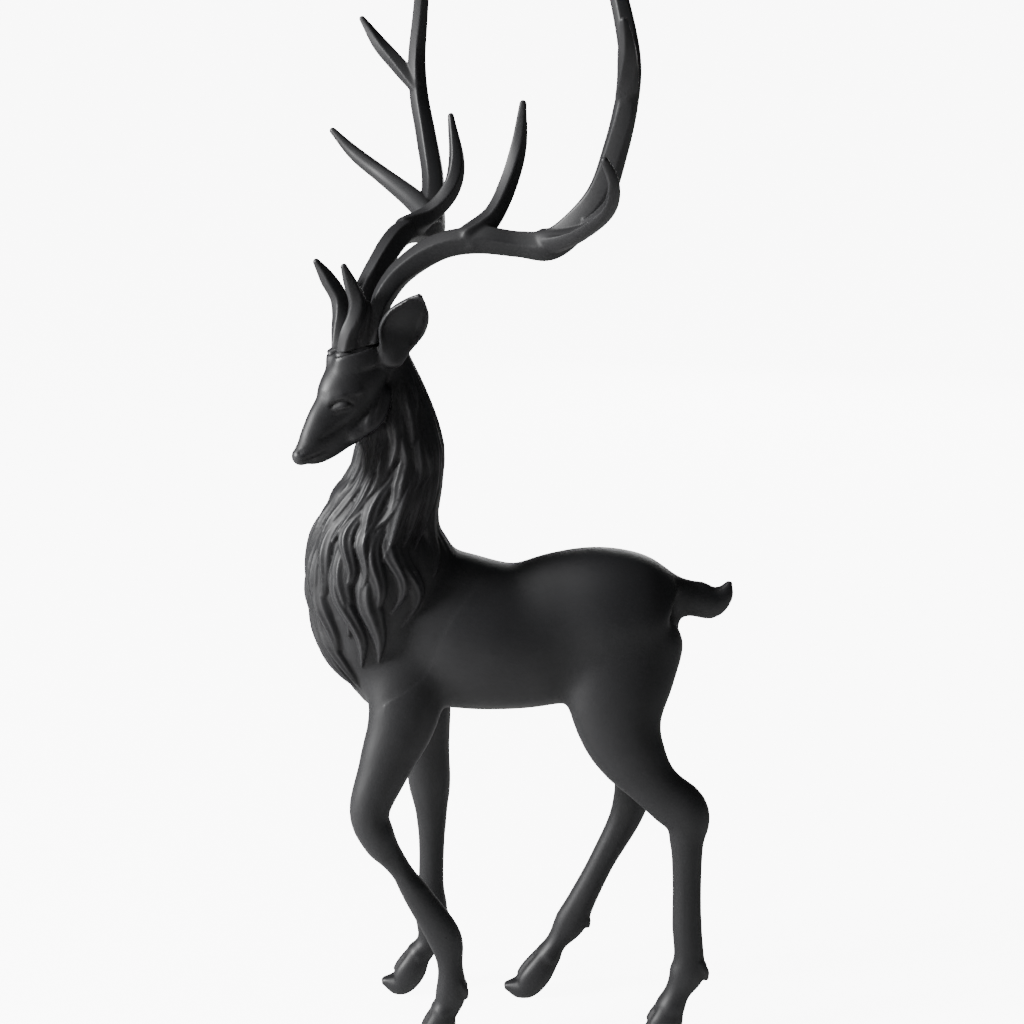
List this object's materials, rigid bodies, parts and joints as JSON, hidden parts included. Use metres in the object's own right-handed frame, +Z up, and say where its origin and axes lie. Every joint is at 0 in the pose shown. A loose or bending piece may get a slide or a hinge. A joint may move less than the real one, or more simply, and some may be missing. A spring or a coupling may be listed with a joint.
{
  "type": "reindeer statue",
  "caption": "Standing stag statue in black cast resin, head turned to its left, swept antlers, carved mane, no base.",
  "frame": {"origin": "on the ground under the middle of the statue's box; the hoof soles are at z = 0", "axes": "+Z up, the stag looks along -X, its left side (the side in the picture) is -Y"},
  "size_m": [0.233, 0.239, 0.6277],
  "materials": {
    "body_resin": "satin black resin",
    "antler_resin": "satin black resin"
  },
  "bodies": {
    "root": {"reindeer_body": "body_resin", "antler_left": "antler_resin", "antler_right": "antler_resin"}
  },
  "joints": []
}
